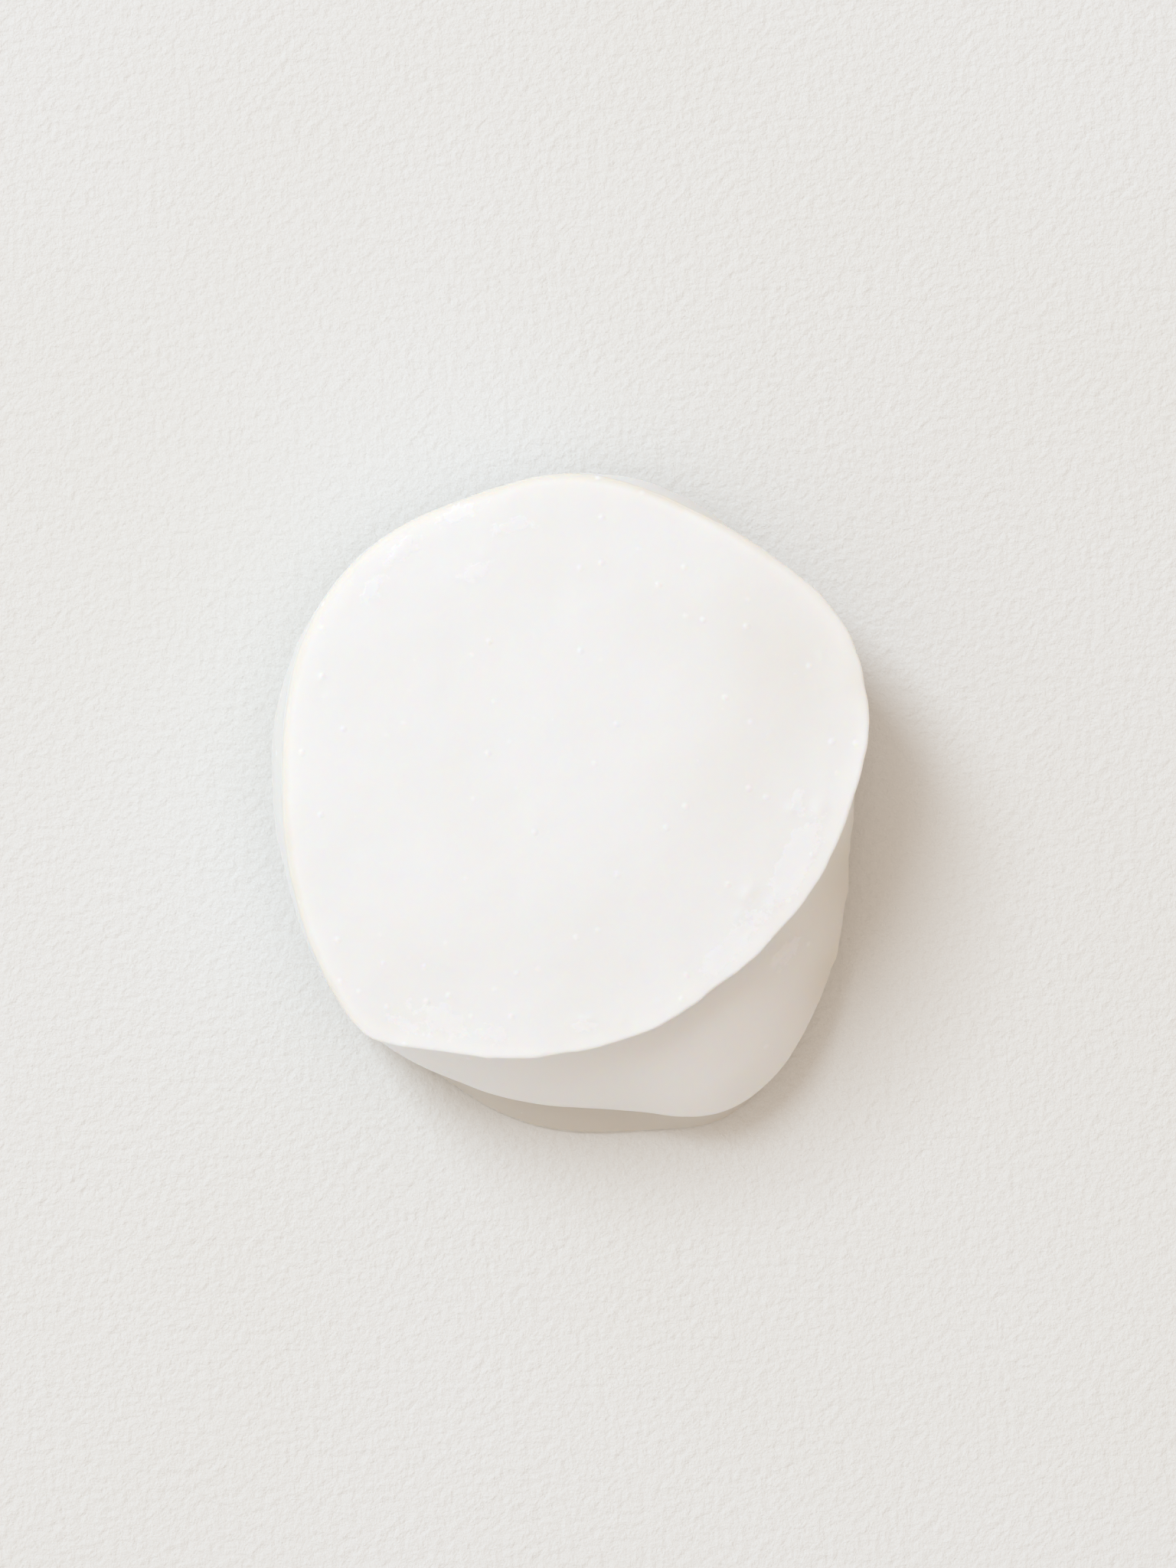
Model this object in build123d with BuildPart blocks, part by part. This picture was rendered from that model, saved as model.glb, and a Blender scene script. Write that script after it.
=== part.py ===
"""Shaving soap puck: a leaning round cake of soft white soap, laid up in three layers.

The base layer stands on the table and shows as a low tongue at the front. The body layer rests on it,
flares to the front and carries the top layer, a low-crowned sheet with a thin, sharp lip.
+Z is up, +X is right and -Y is the front. The origin is on the table, under the middle of the top face.
Lengths are in millimetres. Angles are in degrees, and bearings are counted from +X towards +Y.
"""

import os
from math import cos, radians, sin, tan

from build123d import *

# Plan sizes
rim_radius = 33.0  # mean radius of the top layer at its lip
skirt_radius = 36.0  # the body's lower edge, before its swells
lip_overhang = 0.5  # how far the lip stands out over the wall just under it, at the front right
foot_setback = 0.8  # how far the base layer stays inside the body's lower edge
tongue_reach = 4.2  # how far the base layer runs out forward of that, down at the table
tongue_bearing = 270.5  # middle of the tongue
tongue_half_width = 37.0  # angle from the middle of the tongue to where it ends
foot_draft = 0.6  # how much narrower the base layer is at its top

# Heights, each above the origin
base_height = 4.5
body_height = 11.3
top_thickness = 3.2

# Lean of the two beds between the layers
body_bed_tilt = 2.0
body_bed_rises_to = 265.0
top_bed_tilt = 3.0
top_bed_rises_to = 315.0

# Wall and edges
wall_fullness = 1.35  # 1 is a straight wall between skirt and top bed; more is fuller
shoulder_roll = 0.8  # how far the top layer's far edge rolls in
shoulder_bearing = 160.0  # middle of that rolled edge
base_round = 1.0
foot_round = 0.4
skirt_round = 0.5

# Top face, measured from the lip plane: a low crown set back from the middle, which falls to the lip
crown_rise = 1.3
crown_setback = 8.0
crown_level = 7.0  # radius of its level middle
crown_slack = 22.0  # radius where it starts to fall faster
crown_slack_drop = 0.3  # how much it has fallen there
apron_inset = 6.0  # from the lip in to where the fall slackens, at the front right
apron_rise = 0.25  # height there
lip_depth = 0.12  # how far the face meets the lip below the lip plane
lip_slope = 0.05  # fall over run there

# Plan shape: bearing, then how far the lip and the body's lower edge stand outside their own radius.
# The lip bulges to the right, is cut straight behind that, and is flattened at the front right between
# a corner on the left and the bulge. The lower edge swells to the front, with a blunt front corner.
plan_shape = [
    (0, -0.6, -3.5),
    (14, 1.0, -3.4),
    (27, 1.2, -3.7),
    (45, -0.5, -3.8),
    (63, -1.3, -2.9),
    (77, -0.8, -2.3),
    (90, -0.2, -2.5),
    (108, -0.6, -3.0),
    (130, 0.5, -2.0),
    (155, 0.7, -1.4),
    (180, -0.1, -1.2),
    (200, 1.0, -1.0),
    (214, 2.8, 0.7),
    (225, 4.4, 1.9),
    (233, 5.1, 2.4),
    (241, 3.3, 2.6),
    (250, 1.6, 2.7),
    (260, 0.4, 3.0),
    (270, -0.8, 3.4),
    (281, -1.7, 4.7),
    (293, -2.7, 7.8),
    (303, -3.3, 7.0),
    (315, -3.4, 3.8),
    (330, -2.9, -0.1),
    (345, -2.0, -2.9),
]

bearings = [bearing for bearing, _, _ in plan_shape]
lip_radii = [rim_radius + swell for _, swell, _ in plan_shape]
skirt_radii = [skirt_radius + swell for _, _, swell in plan_shape]


def outline(radii):
    """Flat sketch inside the closed smooth curve that has one radius at each bearing."""
    points = [(r * cos(radians(b)), r * sin(radians(b))) for b, r in zip(bearings, radii)]
    with BuildSketch(mode=Mode.PRIVATE) as flat:
        with BuildLine():
            Spline(*points, periodic=True)
        make_face()
    return flat.sketch


def bed(height, tilt, rises_to):
    """Plane through (0, 0, height) that rises by tilt degrees towards a bearing."""
    rise = tan(radians(tilt))
    normal = Vector(-rise * cos(radians(rises_to)), -rise * sin(radians(rises_to)), 1)
    return Plane(origin=(0, 0, height), x_dir=Vector(0, 1, 0).cross(normal), z_dir=normal)


def tongue(bearing):
    """How far the base layer runs out on the table at a bearing: a rounded swell at the front."""
    share = (bearing - tongue_bearing) / tongue_half_width
    return tongue_reach * (0.5 + 0.5 * cos(radians(180 * share))) if abs(share) < 1 else 0


def roll(bearing):
    """Share of the shoulder roll at a bearing: 1 in the middle of the far edge, 0 opposite it."""
    return (0.5 + 0.5 * cos(radians(bearing - shoulder_bearing))) ** 3


def overhang(bearing):
    """How far the lip stands out over the wall at a bearing: it fades out round the rolled edge."""
    return lip_overhang * (1 - roll(bearing))


body_bed = bed(base_height, body_bed_tilt, body_bed_rises_to)
top_bed = bed(base_height + body_height, top_bed_tilt, top_bed_rises_to)

# ------------------------------------------------------------------ base layer
foot_radii = [radius - foot_setback for radius in skirt_radii]

with BuildPart() as base_layer:
    with BuildSketch(Plane.XY):
        add(outline([radius + tongue(b) for b, radius in zip(bearings, foot_radii)]))
    with BuildSketch(body_bed):
        add(outline([radius - foot_draft for radius in foot_radii]))
    loft()
    fillet(base_layer.faces().sort_by(Axis.Z)[-1].edges(), radius=base_round)
    fillet(base_layer.faces().sort_by(Axis.Z)[0].edges(), radius=foot_round)

base_layer.part.label = "base_layer"

# ------------------------------------------------------------------ body layer
waist_radii = [radius - overhang(b) for b, radius in zip(bearings, lip_radii)]

with BuildPart() as body_layer:
    for level in (0, 0.25, 0.5, 0.75, 1):  # shares of the way from the body's bed to the top layer's
        share_in = level**wall_fullness
        normal = body_bed.z_dir * (1 - level) + top_bed.z_dir * level
        centre = (0, 0, base_height + body_height * level)
        radii = [skirt + (waist - skirt) * share_in for skirt, waist in zip(skirt_radii, waist_radii)]
        with BuildSketch(Plane(origin=centre, x_dir=Vector(0, 1, 0).cross(normal), z_dir=normal)):
            add(outline(radii))
    loft()
    fillet(body_layer.faces().sort_by(Axis.Z)[0].edges(), radius=skirt_round)

body_layer.part.label = "body_layer"

# ------------------------------------------------------------------ top layer
lip_plane = top_bed.offset(top_thickness)
blank_height = top_thickness + crown_rise + 0.6  # the blank that the top face is cut from

with BuildPart() as top_layer:
    # Share of the blank's height, then how much of the overhang and of the roll is taken in there
    for level, overhang_in, roll_in in ((0, 1, 0), (0.3, 0.25, 0.05), (0.5, 0, 0.25), (1, 0, 1)):
        radii = [
            lip - overhang(b) * overhang_in - shoulder_roll * roll_in * roll(b)
            for b, lip in zip(bearings, lip_radii)
        ]
        with BuildSketch(top_bed.offset(blank_height * level)):
            add(outline(radii))
    loft()
    away = radians(top_bed_rises_to + 180)
    crown_centre = lip_plane.from_local_coords((crown_setback * cos(away), crown_setback * sin(away), 0))
    front_lip = min(lip_radii) + crown_setback
    with BuildSketch(Plane(origin=crown_centre, x_dir=lip_plane.x_dir, z_dir=-lip_plane.y_dir)):
        with BuildLine():
            face = Spline(
                (crown_level, crown_rise),
                (crown_slack, crown_rise - crown_slack_drop),
                (front_lip - apron_inset, apron_rise),
                (front_lip, -lip_depth),
                tangents=[(1, 0), (1, -lip_slope)],
            )
            Polyline(
                face @ 1,
                (2 * rim_radius, -lip_depth),
                (2 * rim_radius, 2 * blank_height),
                (0, 2 * blank_height),
                (0, crown_rise),
                face @ 0,
            )
        make_face()
    revolve(axis=Axis(crown_centre, lip_plane.z_dir), mode=Mode.SUBTRACT)

top_layer.part.label = "top_layer"

os.makedirs("parts", exist_ok=True)
for layer in (base_layer, body_layer, top_layer):
    export_step(layer.part, f"parts/{layer.part.label}.step")
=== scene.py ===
"""Looks of a shaving soap puck: three layers of soft white soap on a pale table, under a soft studio light.

Each layer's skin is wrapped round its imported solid, then given the fine relief of hand-laid soap: a wavy
sharp lip, slow swells, small blisters, smears and a ragged foot. Lengths are in metres, and bearings are
in degrees from +X towards +Y.
"""

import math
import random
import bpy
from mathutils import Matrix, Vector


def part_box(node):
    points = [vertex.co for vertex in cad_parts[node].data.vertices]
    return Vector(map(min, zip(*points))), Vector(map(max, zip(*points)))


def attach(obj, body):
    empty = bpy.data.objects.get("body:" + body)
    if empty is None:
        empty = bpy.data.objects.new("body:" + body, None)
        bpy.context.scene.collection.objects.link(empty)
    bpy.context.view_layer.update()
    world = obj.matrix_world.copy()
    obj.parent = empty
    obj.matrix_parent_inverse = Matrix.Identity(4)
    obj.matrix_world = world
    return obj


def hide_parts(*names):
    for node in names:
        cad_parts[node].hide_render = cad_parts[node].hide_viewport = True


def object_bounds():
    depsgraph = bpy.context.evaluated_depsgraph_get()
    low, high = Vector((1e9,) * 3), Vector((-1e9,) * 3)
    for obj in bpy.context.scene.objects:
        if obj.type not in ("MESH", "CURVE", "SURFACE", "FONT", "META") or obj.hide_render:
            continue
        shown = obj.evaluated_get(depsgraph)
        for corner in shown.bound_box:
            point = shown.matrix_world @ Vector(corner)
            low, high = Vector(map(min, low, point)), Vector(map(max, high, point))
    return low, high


bl_info = {
    "name": "Shaving Soap Puck",
    "version": (1, 0, 0),
    "blender": (4, 5, 0),
    "location": "View3D > Sidebar > Soap",
    "description": "Builds the skin of a layered soap puck over its packed solids",
    "category": "Object",
}

import bpy
import numpy as np
from bpy.props import FloatProperty, FloatVectorProperty, IntProperty, PointerProperty
from mathutils import Vector, noise
from mathutils.bvhtree import BVHTree

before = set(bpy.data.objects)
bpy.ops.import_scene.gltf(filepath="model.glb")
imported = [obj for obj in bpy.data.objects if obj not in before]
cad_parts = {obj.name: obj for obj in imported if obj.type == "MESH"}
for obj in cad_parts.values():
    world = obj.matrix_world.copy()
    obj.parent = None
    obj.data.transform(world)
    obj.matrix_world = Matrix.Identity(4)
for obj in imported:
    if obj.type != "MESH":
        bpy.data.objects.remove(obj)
cad_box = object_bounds()

MM = 0.001
UP = Vector((0, 0, 1))
FAR = 1.0  # further than any point of the puck, to cast rays from
WELL_INSIDE = 20 * MM  # distance from the middle that lies inside every layer
LIP_RADIUS = 33 * MM  # mean radius of the lip
FOOT_RADIUS = 36 * MM  # mean radius of the foot
RAG_RADIUS = 35 * MM  # mean radius of the body's ragged lower edge
FLARE_RADIUS = 40 * MM  # radius of the body's flare, at the front right
LIP_MIDDLE = 310  # bearing of the middle of the sharp lip
CORNER_BEARING = 308  # bearing of the body's blunt front corner
RAG_BEARING = 333  # bearing where the body's lower edge is most ragged


# ------------------------------------------------------------------ what a user would change


class SoapPaste(bpy.types.PropertyGroup):
    """Colour, depth and gloss of the soap, with the colours of its painted warm shade and painted highlight,
    and the foot's painted shade tint.
    """

    milk: FloatVectorProperty(
        name="Milk", description="Main colour of the soap",
        subtype="COLOR", size=3, default=(0.903, 0.904, 0.896)
    )
    # Also the colour of painted warm shade: a mesh field of painted shade pulls the soap towards this colour.
    cream: FloatVectorProperty(
        name="Cream", description="Warmer clouds in the soap",
        subtype="COLOR", size=3, default=(0.8, 0.76, 0.69)
    )
    # Painted highlight: the wet smears and the specks are painted this whiter colour.
    film: FloatVectorProperty(
        name="Film", description="Wet film smeared on the skin",
        subtype="COLOR", size=3, default=(0.97, 0.97, 0.97)
    )
    # Painted shade: this tint darkens the whole foot layer as if it lay in shade.
    foot_tint: FloatVectorProperty(
        name="Foot tint", description="Tint of the foot layer",
        subtype="COLOR", size=3, default=(0.77, 0.72, 0.655)
    )
    depth: FloatProperty(
        name="Depth", description="How far light wanders inside", default=1.5 * MM, min=0, unit="LENGTH"
    )
    skin_roughness: FloatProperty(
        name="Skin roughness", description="Roughness of the satin top skin", default=0.38, min=0, max=1
    )
    film_roughness: FloatProperty(
        name="Film roughness", description="Roughness where a wet film lies on it", default=0.22, min=0, max=1
    )
    wall_roughness: FloatProperty(
        name="Wall roughness", description="Roughness of the waxy side wall", default=0.42, min=0, max=1
    )


class SoapRelief(bpy.types.PropertyGroup):
    """Sizes of the relief on the layers."""

    bearings: IntProperty(name="Bearings", description="Points round each ring", default=480, min=60)
    swell: FloatProperty(
        name="Swell", description="Height of the slow swells", default=0.1 * MM, min=0, unit="LENGTH"
    )
    lip_wave: FloatProperty(
        name="Lip wave", description="How far the lip wanders", default=0.28 * MM, min=0, unit="LENGTH"
    )
    lip_wave_length: FloatProperty(
        name="Lip wave length", description="Distance between the lip's waves", default=5 * MM, unit="LENGTH"
    )
    blisters: IntProperty(name="Blisters", description="Small bumps strewn over the top", default=60, min=0)
    rag: FloatProperty(
        name="Rag", description="Raggedness of the body's lower edge", default=0.25 * MM, min=0, unit="LENGTH"
    )


class TableLook(bpy.types.PropertyGroup):
    """The table that the puck lies on."""

    colour: FloatVectorProperty(
        name="Colour", description="Colour of the table",
        subtype="COLOR", size=3, default=(0.83, 0.828, 0.812)
    )
    grain: FloatProperty(
        name="Grain", description="Height of the table's fine grain", default=0.28 * MM, min=0, unit="LENGTH"
    )
    width: FloatProperty(name="Width", description="Width of the table", default=6.0, min=0.5, unit="LENGTH")


class StudioLight(bpy.types.PropertyGroup):
    """One large soft lamp and a fill that is cool on the left and warm on the right."""

    bearing: FloatProperty(
        name="Bearing", description="Where the lamp is, from +X", default=math.radians(132), unit="ROTATION"
    )
    elevation: FloatProperty(
        name="Elevation", description="Lamp's height above level", default=math.radians(50), unit="ROTATION"
    )
    distance: FloatProperty(name="Distance", description="To the lamp", default=3.0, min=0.2, unit="LENGTH")
    width: FloatProperty(name="Width", description="Lamp's level side", default=0.9, min=0.01, unit="LENGTH")
    height: FloatProperty(name="Height", description="Its other side", default=1.8, min=0.01, unit="LENGTH")
    power: FloatProperty(name="Power", description="Power of the lamp", default=48.3, min=0, unit="POWER")
    colour: FloatVectorProperty(
        name="Lamp colour", description="Colour of the lamp",
        subtype="COLOR", size=3, default=(0.709, 0.855, 1.0)
    )
    fill: FloatVectorProperty(
        name="Fill", description="Fill from overhead",
        subtype="COLOR", size=3, default=(0.93, 0.8, 0.7)
    )
    left_fill: FloatVectorProperty(
        name="Left fill", description="Fill from low on the left",
        subtype="COLOR", size=3, default=(0.82, 0.92, 0.98)
    )
    right_fill: FloatVectorProperty(
        name="Right fill", description="Fill from low on the right",
        subtype="COLOR", size=3, default=(0.44, 0.35, 0.26)
    )
    fill_strength: FloatProperty(name="Fill strength", description="Of the whole sky", default=0.86, min=0)


class OverheadView(bpy.types.PropertyGroup):
    """A camera straight above the puck."""

    height: FloatProperty(name="Height", description="Camera above the table", default=0.66, unit="LENGTH")
    lens: FloatProperty(name="Lens", description="Focal length in millimetres", default=131.3, min=1)
    aim: FloatVectorProperty(
        name="Aim", description="Point of the table under the camera", size=2, default=(1.7 * MM, -2.1 * MM),
        subtype="XYZ", unit="LENGTH",
    )


# ------------------------------------------------------------------ shader maths


class Wire:
    """One output of a shader node. Sums and products of wires add their own Math nodes."""

    def __init__(self, shader, socket):
        self.shader = shader
        self.socket = socket

    def out(self, name):
        """Another output of the same node."""
        return Wire(self.shader, self.socket.node.outputs[name])

    def maths(self, operation, *values):
        """A Math node on some values."""
        return self.shader.node("ShaderNodeMath", {"operation": operation}, dict(enumerate(values)))

    def __add__(self, other):
        return self.maths("ADD", self, other)

    def __radd__(self, other):
        return self.maths("ADD", other, self)

    def __sub__(self, other):
        return self.maths("SUBTRACT", self, other)

    def __rsub__(self, other):
        return self.maths("SUBTRACT", other, self)

    def __mul__(self, other):
        return self.maths("MULTIPLY", self, other)

    def __rmul__(self, other):
        return self.maths("MULTIPLY", other, self)


class Shader:
    """The node tree of a material or a world, filled from an empty start."""

    def __init__(self, owner):
        owner.use_nodes = True
        self.owner = owner
        self.tree = owner.node_tree
        self.tree.nodes.clear()

    def node(self, kind, settings, inputs):
        """Adds a node: its settings first, then the value or the wire of each named or numbered input."""
        made = self.tree.nodes.new(kind)
        for name, value in settings.items():
            setattr(made, name, value)
        for key, value in inputs.items():
            if isinstance(value, Wire):
                self.tree.links.new(value.socket, made.inputs[key])
            else:
                made.inputs[key].default_value = value
        return Wire(self, made.outputs[0]) if made.outputs else None

    def millimetres(self):
        """Place on the object, in millimetres."""
        place = self.node("ShaderNodeTexCoord", {}, {}).out("Object")
        return self.node("ShaderNodeVectorMath", {"operation": "SCALE"}, {0: place, "Scale": 1 / MM})

    def field(self, name):
        """A field of the mesh, 0 where the mesh has none."""
        return self.node("ShaderNodeAttribute", {"attribute_name": name}, {}).out("Fac")

    def cloud(self, place, size, detail=2.0, rough=0.5, twist=0.0):
        """Soft noise from 0 to 1 whose lumps are about this many millimetres wide."""
        inputs = {"Scale": 1 / size, "Detail": detail, "Roughness": rough, "Distortion": twist}
        return self.node("ShaderNodeTexNoise", {}, {"Vector": place, **inputs})

    def between(self, value, low, high):
        """0 where the value is under low, 1 where it is over high, and smooth in between."""
        settings = {"interpolation_type": "SMOOTHSTEP"}
        return self.node("ShaderNodeMapRange", settings, {"Value": value, "From Min": low, "From Max": high})

    def blend(self, share, first, second):
        """Mix of two colours, each a colour or a wire."""
        first, second = (c if isinstance(c, Wire) else (*c, 1.0) for c in (first, second))
        mix = self.node("ShaderNodeMix", {"data_type": "RGBA"}, {"Factor": share, 6: first, 7: second})
        return mix.out(2)

    def bump(self, height, distance, under=None):
        """Bump of a height from 0 to 1, laid over another bump."""
        inputs = {"Height": height, "Distance": distance, "Strength": 1.0}
        if under:
            inputs["Normal"] = under
        return self.node("ShaderNodeBump", {}, inputs)

    def finish(self, surface, output="ShaderNodeOutputMaterial"):
        """Ends the tree and gives the material or world."""
        self.node(output, {}, {"Surface": surface})
        return self.owner


def specks(shader, place, spacing, width, kept):
    """Sparse round dots: 1 in the middle of a dot. Only a share of the cells keeps its dot."""
    cells = shader.node("ShaderNodeTexVoronoi", {"feature": "F1"}, {"Vector": place, "Scale": 1 / spacing})
    dot = 1 - shader.between(cells.out("Distance"), 0.0, width / spacing)
    chosen = shader.node("ShaderNodeSeparateColor", {}, {"Color": cells.out("Color")})
    return dot * chosen.maths("LESS_THAN", chosen, kept)


def soap_paste(name, roughness, speckled, tint=(1, 1, 1)):
    """Soft white soap: milky with warm clouds, lit from within, waxy, and glossier on wet smears that are
    painted whiter as a painted highlight. A mesh field paints warm shade, and the tint darkens the foot as
    painted shade.
    """
    paste = bpy.context.scene.soap_paste
    # On the foot the tint is painted shade, darkening both colours.
    milk, cream = ([a * b for a, b in zip(colour, tint)] for colour in (paste.milk, paste.cream))
    shader = Shader(bpy.data.materials.new(name))
    place = shader.millimetres()
    # Mask of the wet smears, which are painted whiter as a painted highlight.
    smear = shader.field("film")
    ragged = shader.cloud(place, 1.1, detail=3, rough=0.6)
    film = shader.between(smear + 1.9 * (ragged - 0.5), 0.38, 0.7)
    dots = specks(shader, place, 2.4, 0.55, speckled)
    clouds = shader.between(shader.cloud(place, 14, detail=3), 0.35, 0.75)
    # Random warm clouds and a mesh field of painted warm shade both blend towards the warmer colour.
    colour = shader.blend(0.1 * clouds + shader.field("cream"), milk, cream)
    # Painted highlight: the wet smears are painted whiter, and the specks become lighter dots.
    colour = shader.blend(film + dots, colour, paste.film)
    patches = shader.cloud(place, 5, detail=2, twist=0.6)
    dull = roughness + 0.16 * (patches - 0.5) + film * (paste.film_roughness - roughness)
    ripple = shader.cloud(place, 2.4, detail=3, rough=0.45)
    skin = shader.bump(ripple, 0.04 * MM)
    skin = shader.bump(dots, 0.08 * MM, under=skin)
    skin = shader.bump(shader.cloud(place, 0.5, detail=2), 0.006 * MM, under=skin)
    skin = shader.bump(film, 0.02 * MM, under=skin)
    surface = shader.node(
        "ShaderNodeBsdfPrincipled",
        {"subsurface_method": "RANDOM_WALK"},
        {
            "Base Color": colour,
            "Roughness": dull,
            "IOR": 1.45,
            "Specular IOR Level": 0.3,
            "Subsurface Weight": 1.0,
            "Subsurface Radius": (1.0, 0.8, 0.6),
            "Subsurface Scale": paste.depth,
            "Normal": skin,
        },
    )
    return shader.finish(surface)


def table_top():
    """Pale fine-grained board."""
    look = bpy.context.scene.table_look
    shader = Shader(bpy.data.materials.new("pale table"))
    place = shader.millimetres()
    tint = shader.between(shader.cloud(place, 60, detail=2), 0.2, 0.8)
    warmer = [channel * share for channel, share in zip(look.colour, (0.985, 0.98, 0.965))]
    colour = shader.blend(tint, look.colour, warmer)
    grain = shader.bump(shader.cloud(place, 1.1, detail=4, rough=0.6), look.grain)
    surface = shader.node(
        "ShaderNodeBsdfPrincipled",
        {},
        {"Base Color": colour, "Roughness": 0.85, "Specular IOR Level": 0.2, "Normal": grain},
    )
    return shader.finish(surface)


# ------------------------------------------------------------------ skins


def fade(value, start, end):
    """Smooth step from 0 at start to 1 at end."""
    share = min(1.0, max(0.0, (value - start) / (end - start)))
    return share * share * (3 - 2 * share)


def turn(bearing, middle):
    """Angle between two bearings, in degrees, from 0 to 180."""
    return abs((bearing - middle + 180) % 360 - 180)


def lumps(point, size, seed):
    """Smooth noise from -1 to 1 whose lumps are about this wide."""
    return noise.noise(point / size + Vector((seed, -seed, 2 * seed)))


def around(bearing, radius, length, seed):
    """Smooth noise along a circle, with waves of about this length."""
    angle = math.radians(bearing)
    spot = Vector((math.cos(angle), math.sin(angle), 0)) * radius / length
    return noise.noise(spot + Vector((seed, seed, seed)))


class Skin:
    """Rings of points wrapped round a packed layer, from the middle of its top, over its edge, to below.

    Each ring has one point for each bearing. Where the layer is broad and flat the points are found
    straight above and below. Round its edge they are found by a fan of rays from a point inside.
    """

    def __init__(self, node, reach, top_rows, edge_rows, under_rows):
        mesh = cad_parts[node].data
        faces = [tuple(face.vertices) for face in mesh.polygons]
        self.node = node
        self.tree = BVHTree.FromPolygons([v.co for v in mesh.vertices], faces)
        self.reach = reach
        out_shares = [1 - (1 - k / top_rows) ** 1.5 for k in range(1, top_rows)]
        angles = [math.radians(90 - 180 * k / edge_rows) for k in range(edge_rows + 1)]
        in_shares = [1 - k / under_rows for k in range(1, under_rows)]
        self.count = bpy.context.scene.soap_relief.bearings
        self.bearings = [360 * k / self.count for k in range(self.count)]
        columns = [self.column(b, out_shares, angles, in_shares) for b in self.bearings]
        self.rings = [list(ring) for ring in zip(*columns)]
        self.top = self.hit(Vector((0, 0, FAR)), -UP)
        self.bottom = self.hit(Vector((0, 0, -FAR)), UP)

    def hit(self, start, direction):
        """Where a ray meets the layer."""
        found = self.tree.ray_cast(start, direction)[0]
        if found is None:
            raise RuntimeError(f"a ray misses {self.node}")
        return found

    def middle(self, spot):
        """Point half way between the layer's top and bottom at a spot."""
        above = self.hit(spot + FAR * UP, -UP)
        below = self.hit(spot - FAR * UP, UP)
        return (above + below) / 2

    def column(self, bearing, out_shares, angles, in_shares):
        """The skin's points at one bearing."""
        angle = math.radians(bearing)
        out = Vector((math.cos(angle), math.sin(angle), 0))
        wall = self.hit(self.middle(out * WELL_INSIDE), out)
        spot = Vector((wall.x, wall.y, 0)) * self.reach
        centre = self.middle(spot)
        above = [self.hit(spot * share + FAR * UP, -UP) for share in out_shares]
        round_edge = [self.hit(centre, out * math.cos(a) + UP * math.sin(a)) for a in angles]
        below = [self.hit(spot * share - FAR * UP, UP) for share in in_shares]
        return above + round_edge + below

    def corners(self):
        """For each bearing, the point that stands out furthest up and outwards: the lip."""
        return [max(column, key=lambda p: p.xy.length + p.z) for column in zip(*self.rings)]

    def smooth(self, rounds, share=None, level_only=False):
        """Evens the skin out. A rule gives the share of it, from 0 to 1, for a point at a bearing."""
        points = np.array(self.rings)
        weight = np.ones(points.shape[:2] + (1,))
        if share:
            weight[:, :, 0] = [[share(p, b) for p, b in zip(ring, self.bearings)] for ring in self.rings]
        if level_only:
            weight = weight * (0, 0, 1)
        for _ in range(rounds):
            inner = (points[:-2] + 2 * points[1:-1] + points[2:]) / 4
            points[1:-1] += weight[1:-1] * (inner - points[1:-1])
            if level_only:
                along = (np.roll(points, 1, axis=1) + 2 * points + np.roll(points, -1, axis=1)) / 4
                points += weight * (along - points)
        self.rings = [[Vector(p) for p in ring] for ring in points]

    def shape(self, move):
        """Moves every point by what a rule gives for its ring, its bearing's number and its normal."""
        normals = self.normals()
        self.rings = [
            [point + move(point, k, normal) for k, (point, normal) in enumerate(zip(ring, ring_normals))]
            for ring, ring_normals in zip(self.rings, normals)
        ]

    def normals(self):
        """Outward normals of the rings' points."""
        found = []
        last = len(self.rings) - 1
        for i, ring in enumerate(self.rings):
            before = self.rings[max(0, i - 1)]
            after = self.rings[min(last, i + 1)]
            down = [b - a for a, b in zip(before, after)]
            along = [ring[(k + 1) % self.count] - ring[k - 1] for k in range(self.count)]
            found.append([d.cross(a).normalized() for d, a in zip(down, along)])
        return found

    def build(self, name, material, **fields):
        """Makes the closed mesh object. Each field is a rule for a value that the material reads."""
        points = [self.top]
        for ring in self.rings:
            points += ring
        points.append(self.bottom)
        n = self.count
        last = len(points) - 1
        faces = []
        for k in range(n):
            following = (k + 1) % n
            faces.append((0, 1 + k, 1 + following))
            faces.append((last, last - n + following, last - n + k))
            for row in range(len(self.rings) - 1):
                a = 1 + row * n
                faces.append((a + k, a + n + k, a + n + following, a + following))
        mesh = bpy.data.meshes.new(name)
        mesh.from_pydata(points, [], faces)
        mesh.shade_smooth()
        for field, rule in fields.items():
            values = mesh.attributes.new(field, "FLOAT", "POINT")
            values.data.foreach_set("value", [rule(p) for p in points])
        mesh.materials.append(material)
        mesh.validate()
        piece = bpy.data.objects.new(name, mesh)
        bpy.context.scene.collection.objects.link(piece)
        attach(piece, "root")
        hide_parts(self.node)
        return piece


# Each mound or smear: its bearing, its distance out, its size along the rim and across it, all in
# millimetres but the bearing. A mound has its height as well. A smear is painted whiter as a painted
# highlight.
LIP_MOUNDS = [
    (350, 28.0, 1.4, 1.2, 0.14),
    (349, 24.9, 1.0, 0.9, 0.12),
    (324, 24.2, 1.2, 1.0, 0.16),
    (326, 27.0, 0.9, 0.8, 0.12),
    (318, 25.0, 0.8, 0.7, 0.1),
    (24, 30.4, 0.5, 0.5, 0.1),
    (273, 28.4, 1.3, 0.6, 0.1),
]
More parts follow.
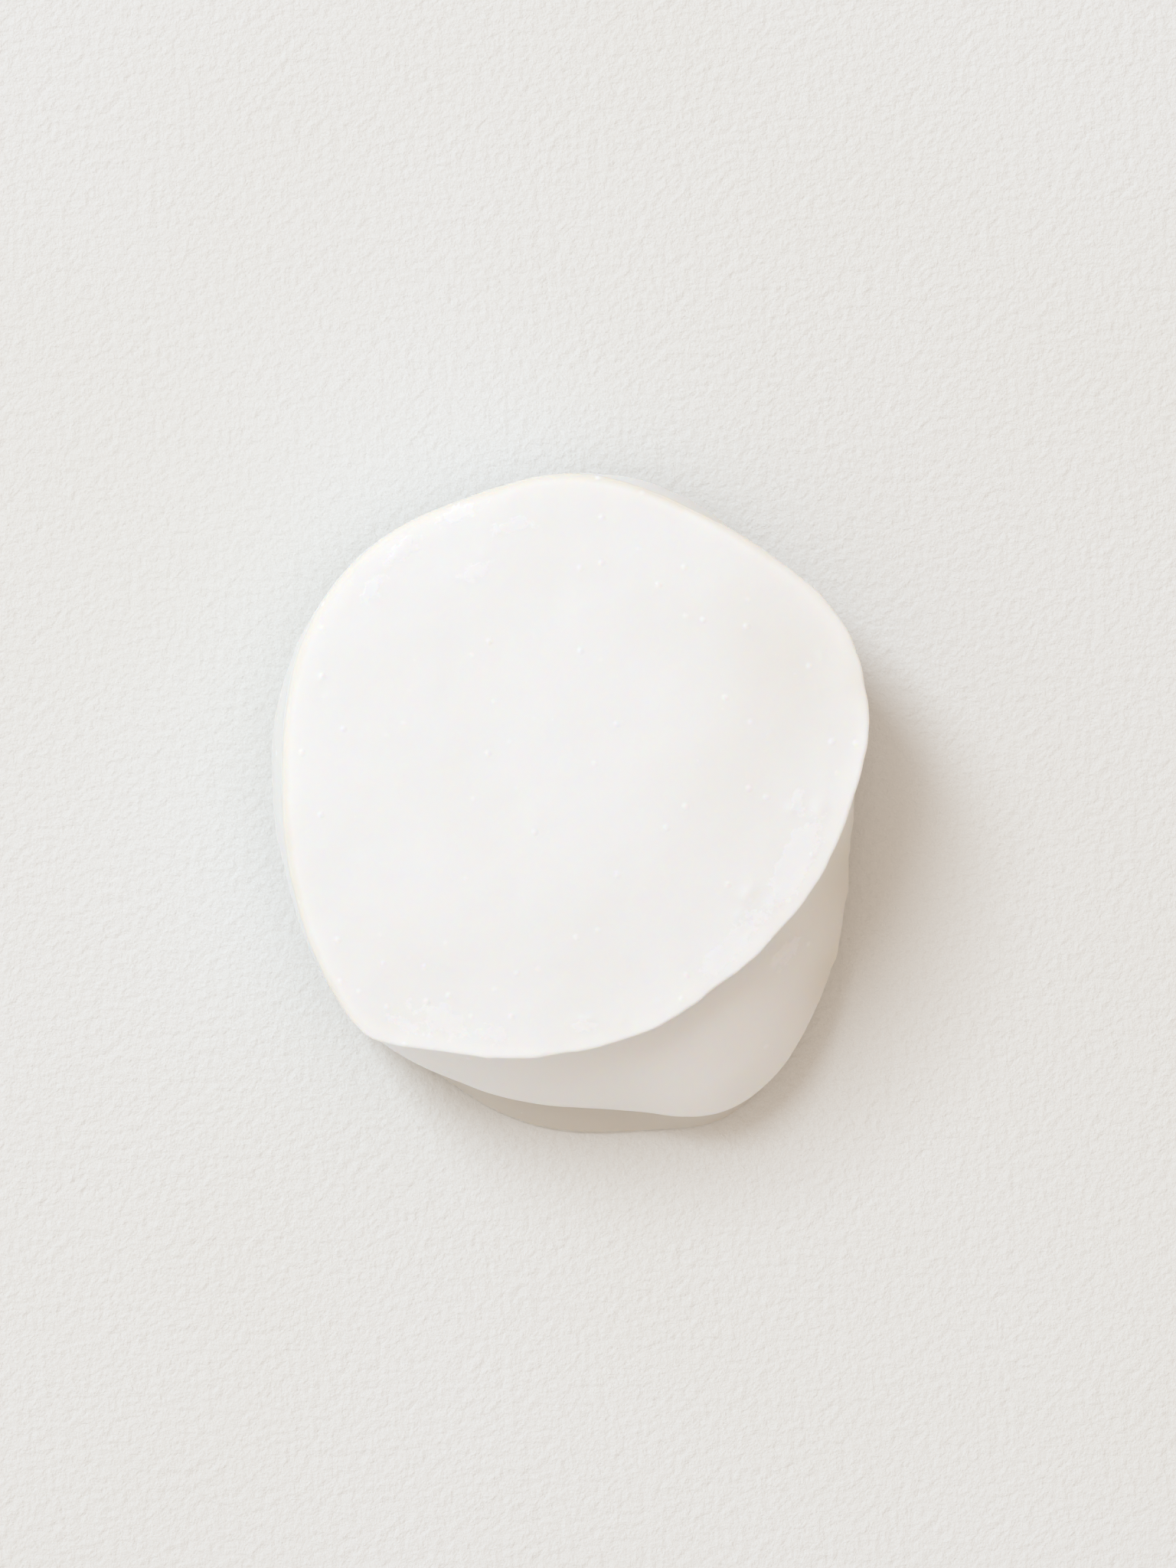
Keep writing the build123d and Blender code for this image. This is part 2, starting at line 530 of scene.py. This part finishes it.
# Wet smears, painted whiter as painted highlights and made glossier.
FILM_AND_PAINTED_HIGHLIGHT_SMEARS = [
    (341, 27.3, 3.0, 1.7),
    (335, 27.0, 2.6, 1.6),
    (330.5, 27.2, 1.6, 1.2),
    (314.6, 26.7, 4.6, 1.2),
    (308, 27.3, 2.4, 0.8),
    (351, 25.6, 1.2, 0.9),
    (243, 32.0, 3.4, 1.5),
    (254, 31.2, 1.6, 1.1),
    (237, 34.6, 2.2, 0.8),
    (272, 29.2, 1.6, 0.7),
    (128, 30.8, 2.2, 1.2),
    (114, 31.0, 2.8, 0.9),
    (139, 30.0, 2.2, 1.0),
    (104, 27.6, 2.6, 0.9),
    (117, 24.4, 2.2, 0.8),
]


def inside(point, bearing, distance, along, across):
    """How far inside an oval a point lies: 1 in the oval's middle, falling off outwards."""
    angle = math.radians(bearing)
    out = Vector((math.cos(angle), math.sin(angle), 0))
    away = Vector((point.x, point.y, 0)) - out * distance * MM
    across_share = away.dot(out) / (across * MM)
    along_share = away.cross(out).z / (along * MM)
    square = across_share * across_share + along_share * along_share
    return math.exp(-square) if square < 6 else 0.0


def mound(point, *oval, height):
    """Height of one rounded mound at a point."""
    return height * MM * inside(point, *oval) ** 2


# ------------------------------------------------------------------ operators


class SOAP_OT_top_layer(bpy.types.Operator):
    """Wrap the top layer: a satin sheet with a low crown, a wavy sharp lip and a soft far shoulder"""

    bl_idname = "soap.top_layer"
    bl_label = "Top layer"

    def execute(self, context):
        relief = context.scene.soap_relief
        skin = Skin("top_layer", reach=0.945, top_rows=96, edge_rows=60, under_rows=12)
        corners = skin.corners()
        lips = dict(zip(skin.bearings, corners))
        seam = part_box("top_layer")[0].z

        def sharp(bearing):
            """1 where the lip is sharp, 0 round the rolled shoulder."""
            past = (bearing - LIP_MIDDLE + 180) % 360 - 180
            return fade(past, -86, -74) * (1 - fade(past, 60, 120))

        def face(point, bearing):
            """1 on the broad top face, 0 at its edge and below."""
            lip = lips[bearing]
            return fade(lip.xy.length - point.xy.length, 0.8 * MM, 2.5 * MM) * (point.z > lip.z - 1.5 * MM)

        def shoulder(point, bearing):
            """1 on the rolled shoulder, above the seam with the body."""
            return (1 - sharp(bearing)) * fade(point.z - lips[bearing].z, -2.2 * MM, -1.0 * MM)

        skin.smooth(80, face, level_only=True)
        skin.smooth(15, shoulder)
        skin.smooth(2, lambda point, bearing: sharp(bearing))
        chance = random.Random(7)
        strewn = []
        for _ in range(relief.blisters):
            size = chance.uniform(0.35, 0.6)
            place = (chance.uniform(0, 360), 31 * math.sqrt(chance.random()), size, size)
            strewn.append((*place, size * chance.uniform(0.05, 0.14)))
        mounds = LIP_MOUNDS + strewn

        def move(point, k, normal):
            bearing = skin.bearings[k]
            lip = lips[bearing]
            out = lip.xy.normalized().to_3d()
            from_lip = (point - lip).length
            near = 1 - fade(from_lip, 0.3 * MM, 2.6 * MM)
            above = fade(normal.z, 0.0, 0.5)
            wave = around(bearing, LIP_RADIUS, length=relief.lip_wave_length, seed=3.1)
            wave += 0.4 * around(bearing, LIP_RADIUS, length=relief.lip_wave_length / 2.6, seed=8.7)
            lift = relief.swell * lumps(point, size=11 * MM, seed=1.3)
            lift += 0.35 * relief.swell * lumps(point, size=3.6 * MM, seed=5.9)
            if above:
                lift += above * sum(mound(point, *oval, height=height) for *oval, height in mounds)
            tip = 0.14 * MM * (1 - fade(from_lip, 0, 1.2 * MM)) * sharp(bearing)
            tuck = 1.0 * MM * (1 - sharp(bearing)) * fade(lip.z - point.z, 1.8 * MM, 3.2 * MM)
            return (
                normal * lift
                + out * (tip + wave * relief.lip_wave * near * (0.25 + 0.75 * sharp(bearing)))
                + UP * (0.3 * wave * relief.lip_wave * near * sharp(bearing) - tuck)
            )

        skin.shape(move)

        # Painted highlight: where the smears lie on the top, it is painted whiter.
        def film(point):
            return sum(inside(point, *oval) for oval in FILM_AND_PAINTED_HIGHLIGHT_SMEARS) if point.z > seam else 0.0

        def cream(point):
            """Painted warm shade on the right of the face, at the right lip and along the rolled far rim that
            faces the lamp.
            """
            number = round(math.degrees(math.atan2(point.y, point.x)) / 360 * skin.count) % skin.count
            lip = corners[number]
            rim = 1 - fade(lip.xy.length - point.xy.length, 0.1 * MM, 1.0 * MM)
            rim *= fade(point.z - lip.z, -1.5 * MM, -0.6 * MM)
            shade = 0.3 * inside(point, 28, 27, 10, 7) + 0.15 * inside(point, 355, 19, 10, 8)
            shade += 0.4 * inside(point, 14, 33.8, 5, 1)
            return shade + 0.8 * rim * (1 - sharp(skin.bearings[number]))

        satin = soap_paste("soap skin", context.scene.soap_paste.skin_roughness, 0.4)
        skin.build("soap_top_layer", satin, film=film, cream=cream)
        return {"FINISHED"}


class SOAP_OT_body_layer(bpy.types.Operator):
    """Wrap the body layer: a smooth flared wall with a smear under the lip and a ragged lower edge"""

    bl_idname = "soap.body_layer"
    bl_label = "Body layer"

    def execute(self, context):
        relief = context.scene.soap_relief
        skin = Skin("body_layer", reach=0.75, top_rows=8, edge_rows=150, under_rows=8)
        skin.smooth(2)
        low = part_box("body_layer")[0].z
        smear = (317, 31.6, 2.8, 1.0)

        def corner(point, bearing):
            """1 round the blunt front corner, near the foot."""
            near = 1 - fade(turn(bearing, CORNER_BEARING), 12, 24)
            return near * (1 - fade(point.z - low, 3 * MM, 6 * MM))

        skin.smooth(8, corner)

        def move(point, k, normal):
            bearing = skin.bearings[k]
            wall = 1 - fade(abs(normal.z), 0.75, 0.95)
            spread = Vector((point.x, point.y, 5 * point.z))
            lift = 1.3 * relief.swell * lumps(point, size=13 * MM, seed=2.2)
            lift += 0.5 * relief.swell * lumps(spread, size=7 * MM, seed=6.4)
            lift += mound(point, *smear, height=0.3)
            rag_share = 0.25 + 0.75 * (1 - fade(turn(bearing, RAG_BEARING), 8, 22))
            rag = around(bearing, RAG_RADIUS, length=1.6 * MM, seed=4.4)
            rag += around(bearing, RAG_RADIUS, length=4 * MM, seed=9.5)
            near_foot = 1 - fade(point.z - low, 1.5 * MM, 4.5 * MM)
            wave = 1.2 * around(bearing, FLARE_RADIUS, length=6.5 * MM, seed=2.6)
            out = Vector((point.x, point.y, 0)).normalized()
            return wall * (normal * lift + out * (rag * rag_share + wave) * near_foot * relief.rag)

        skin.shape(move)

        def cream(point):
            """Painted warm shade at the right end of the wall and on its far side, which faces the lamp."""
            right = 0.9 * inside(point, 339, 33.5, 7, 4) + inside(point, 323, 39, 6, 3.5)
            return right + 0.5 * inside(point, 165, 34, 26, 6)

        # Painted highlight: one whiter smear on the wall under the lip.
        def film(point):
            return inside(point, 318.5, 32, 2.6, 0.9)

        waxy = soap_paste("soap wall", context.scene.soap_paste.wall_roughness, 0.12)
        skin.build("soap_body_layer", waxy, film=film, cream=cream)
        return {"FINISHED"}


class SOAP_OT_base_layer(bpy.types.Operator):
    """Wrap the base layer: a low rounded tongue on the table"""

    bl_idname = "soap.base_layer"
    bl_label = "Base layer"

    def execute(self, context):
        relief = context.scene.soap_relief
        skin = Skin("base_layer", reach=0.93, top_rows=12, edge_rows=60, under_rows=8)
        skin.smooth(2)

        def move(point, k, normal):
            side = 1 - fade(abs(normal.z), 0.8, 0.97)
            wave = around(skin.bearings[k], FOOT_RADIUS, length=5 * MM, seed=5.2)
            swell = relief.swell * lumps(point, size=8 * MM, seed=3.7)
            return side * normal * (swell + 0.4 * relief.rag * wave)

        skin.shape(move)
        paste = context.scene.soap_paste
        # The foot is painted darker with its tint, as painted shade.
        dull = soap_paste("soap foot", paste.wall_roughness, 0.0, paste.foot_tint)
        skin.build("soap_base_layer", dull)
        return {"FINISHED"}


class SOAP_OT_stage(bpy.types.Operator):
    """Set out the pale table, the studio light and the camera above"""

    bl_idname = "soap.stage"
    bl_label = "Stage"

    def execute(self, context):
        self.table(context.scene)
        self.lamp(context.scene)
        self.fill(context.scene)
        self.camera(context.scene)
        context.scene.view_settings.view_transform = "Standard"
        return {"FINISHED"}

    def table(self, scene):
        """A wide board whose top is the level that the puck stands on."""
        half = scene.table_look.width / 2
        level = cad_box[0].z
        corners = [(-half, -half, level), (half, -half, level), (half, half, level), (-half, half, level)]
        mesh = bpy.data.meshes.new("table")
        mesh.from_pydata(corners, [], [(0, 1, 2, 3)])
        mesh.materials.append(table_top())
        board = bpy.data.objects.new("table", mesh)
        scene.collection.objects.link(board)

    def lamp(self, scene):
        """A long soft lamp, high on the far left."""
        studio = scene.studio_light
        level = math.cos(studio.elevation)
        towards = Vector(
            (math.cos(studio.bearing) * level, math.sin(studio.bearing) * level, math.sin(studio.elevation))
        )
        light = bpy.data.lights.new("soft lamp", "AREA")
        light.shape = "RECTANGLE"
        light.size = studio.width
        light.size_y = studio.height
        light.energy = studio.power
        light.color = studio.colour
        lamp = bpy.data.objects.new("soft lamp", light)
        lamp.location = towards * studio.distance
        lamp.rotation_mode = "QUATERNION"
        lamp.rotation_quaternion = towards.to_track_quat("Z", "Y")
        scene.collection.objects.link(lamp)

    def fill(self, scene):
        """Light from the whole sky, warm overhead and on the right. The camera sees it as a pale backdrop."""
        studio = scene.studio_light
        shader = Shader(bpy.data.worlds.new("fill"))
        towards = shader.node("ShaderNodeTexCoord", {}, {}).out("Generated")
        across = shader.node("ShaderNodeSeparateXYZ", {}, {"Vector": towards})
        low_fill = shader.blend(shader.between(across, -0.8, 0.8), studio.left_fill, studio.right_fill)
        colour = shader.blend(across.out("Z"), low_fill, studio.fill)
        sky = shader.node("ShaderNodeBackground", {}, {"Color": colour, "Strength": studio.fill_strength})
        backdrop = shader.node("ShaderNodeBackground", {}, {"Color": (*scene.table_look.colour, 1.0)})
        seen = shader.node("ShaderNodeLightPath", {}, {}).out("Is Camera Ray")
        mix = shader.node("ShaderNodeMixShader", {}, {0: seen, 1: sky, 2: backdrop})
        scene.world = shader.finish(mix, "ShaderNodeOutputWorld")

    def camera(self, scene):
        """Looks straight down."""
        view = scene.overhead_view
        optics = bpy.data.cameras.new("camera")
        optics.sensor_width = 36
        optics.lens = view.lens
        camera = bpy.data.objects.new("camera", optics)
        camera.location = (view.aim[0], view.aim[1], cad_box[0].z + view.height)
        scene.collection.objects.link(camera)
        scene.camera = camera


class SOAP_PT_puck(bpy.types.Panel):
    """Lists the puck's settings and steps"""

    bl_label = "Soap puck"
    bl_idname = "SOAP_PT_puck"
    bl_space_type = "VIEW_3D"
    bl_region_type = "UI"
    bl_category = "Soap"

    def draw(self, context):
        for name in GROUPS:
            group = getattr(context.scene, name)
            box = self.layout.box()
            for setting in group.bl_rna.properties:
                if setting.identifier in group.__annotations__:
                    box.prop(group, setting.identifier)
        for step in STEPS:
            self.layout.operator(step.bl_idname)


GROUPS = {
    "soap_paste": SoapPaste,
    "soap_relief": SoapRelief,
    "table_look": TableLook,
    "studio_light": StudioLight,
    "overhead_view": OverheadView,
}
STEPS = (SOAP_OT_stage, SOAP_OT_base_layer, SOAP_OT_body_layer, SOAP_OT_top_layer)


def register():
    for kind in (*GROUPS.values(), *STEPS, SOAP_PT_puck):
        bpy.utils.register_class(kind)
    for name, kind in GROUPS.items():
        setattr(bpy.types.Scene, name, PointerProperty(type=kind))


def unregister():
    for name in GROUPS:
        delattr(bpy.types.Scene, name)
    for kind in (SOAP_PT_puck, *reversed(STEPS), *reversed(GROUPS.values())):
        bpy.utils.unregister_class(kind)


def main():
    register()
    bpy.ops.soap.stage()
    bpy.ops.soap.base_layer()
    bpy.ops.soap.body_layer()
    bpy.ops.soap.top_layer()


if __name__ == "__main__":
    main()
